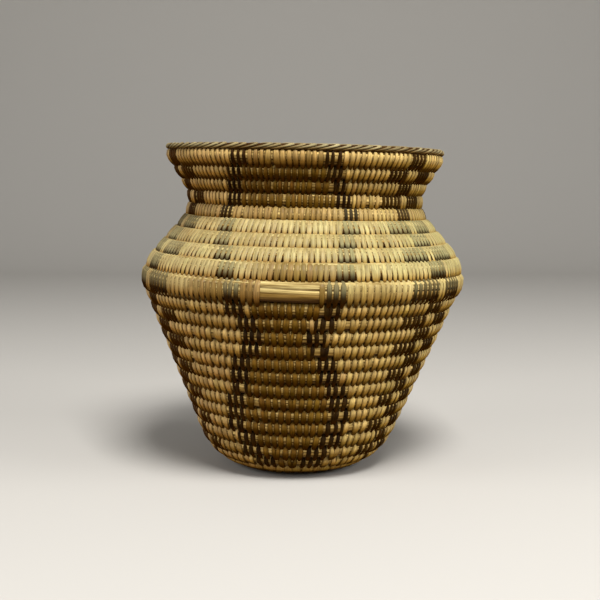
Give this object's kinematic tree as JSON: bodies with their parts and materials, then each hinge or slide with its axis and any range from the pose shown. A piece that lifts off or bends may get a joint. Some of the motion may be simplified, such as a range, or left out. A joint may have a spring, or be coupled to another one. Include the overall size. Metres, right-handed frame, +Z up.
{
  "type": "basketry olla",
  "caption": "Coiled basketry jar with a round belly, a narrow neck and a flared mouth, dark zigzag and check patterns, an overcast rim and a flat base.",
  "frame": {"origin": "the middle of the base's flat underside, on the surface that the basket stands on", "axes": "+Z up through the mouth, -Y towards the front that the picture shows, +X to the viewer's right"},
  "size_m": [0.1912, 0.1906, 0.1921],
  "materials": {
    "sewn_coil": "matte split-leaf sewing strips over a grass bundle",
    "bare_bundle": "matte bare grass bundle",
    "dark_strip": "matte dark seed-pod strips",
    "rim_strip": "matte overcast strips"
  },
  "bodies": {
    "root": {"start_knot": "bare_bundle", "base_coil_1": "sewn_coil", "base_coil_2": "sewn_coil", "base_coil_3": "sewn_coil", "base_coil_4": "sewn_coil", "base_coil_5": "sewn_coil", "wall_coil_01": "sewn_coil", "wall_coil_02": "sewn_coil", "wall_coil_03": "sewn_coil", "wall_coil_04": "sewn_coil", "wall_coil_05": "sewn_coil", "wall_coil_06": "sewn_coil", "wall_coil_07": "sewn_coil", "wall_coil_08": "sewn_coil", "wall_coil_09": "sewn_coil", "wall_coil_10": "sewn_coil", "wall_coil_11": "sewn_coil", "wall_coil_12": "sewn_coil", "wall_coil_13": "sewn_coil", "wall_coil_14": "bare_bundle", "wall_coil_15": "sewn_coil", "wall_coil_16": "sewn_coil", "wall_coil_17": "sewn_coil", "wall_coil_18": "sewn_coil", "wall_coil_19": "sewn_coil", "wall_coil_20": "sewn_coil", "wall_coil_21": "sewn_coil", "wall_coil_22": "sewn_coil", "wall_coil_23": "sewn_coil", "rim_overcast": "rim_strip", "front_zigzag_left": "dark_strip", "front_zigzag_right": "dark_strip", "right_zigzag_left": "dark_strip", "right_zigzag_right": "dark_strip", "left_zigzag_left": "dark_strip", "left_zigzag_right": "dark_strip", "right_checks": "dark_strip", "back_checks": "dark_strip", "left_checks": "dark_strip"}
  },
  "joints": []
}
